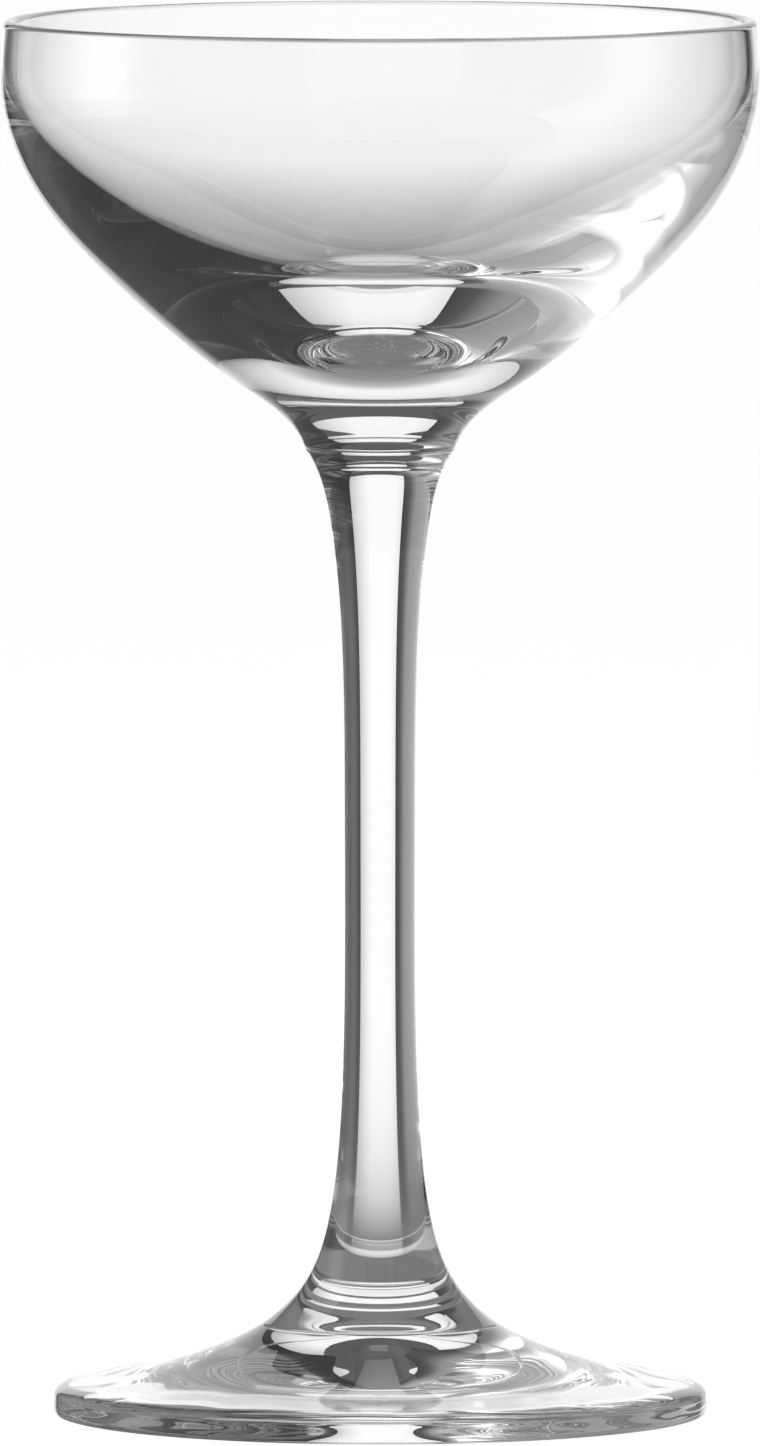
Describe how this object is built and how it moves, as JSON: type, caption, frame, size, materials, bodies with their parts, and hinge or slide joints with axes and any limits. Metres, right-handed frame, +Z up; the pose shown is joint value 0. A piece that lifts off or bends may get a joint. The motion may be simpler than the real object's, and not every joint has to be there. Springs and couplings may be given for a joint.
{
  "type": "liqueur coupe",
  "caption": "Clear crystal liqueur coupe: a wide, shallow, thin-rimmed bowl fused to a long slender solid stem and a wide disc foot.",
  "frame": {"origin": "centre of the foot's resting ring, on the table plane", "axes": "+Z up along the glass's axis of revolution, from the foot to the rim; X and Y are any two horizontal directions"},
  "size_m": [0.0748, 0.0748, 0.1378],
  "materials": {
    "bowl_crystal": "clear colourless crystal, blown and fire-polished",
    "stem_crystal": "clear colourless crystal, drawn and fire-polished",
    "foot_crystal": "clear colourless crystal, spun and fire-polished"
  },
  "bodies": {
    "root": {"bowl": "bowl_crystal", "stem": "stem_crystal", "foot": "foot_crystal"}
  },
  "joints": []
}
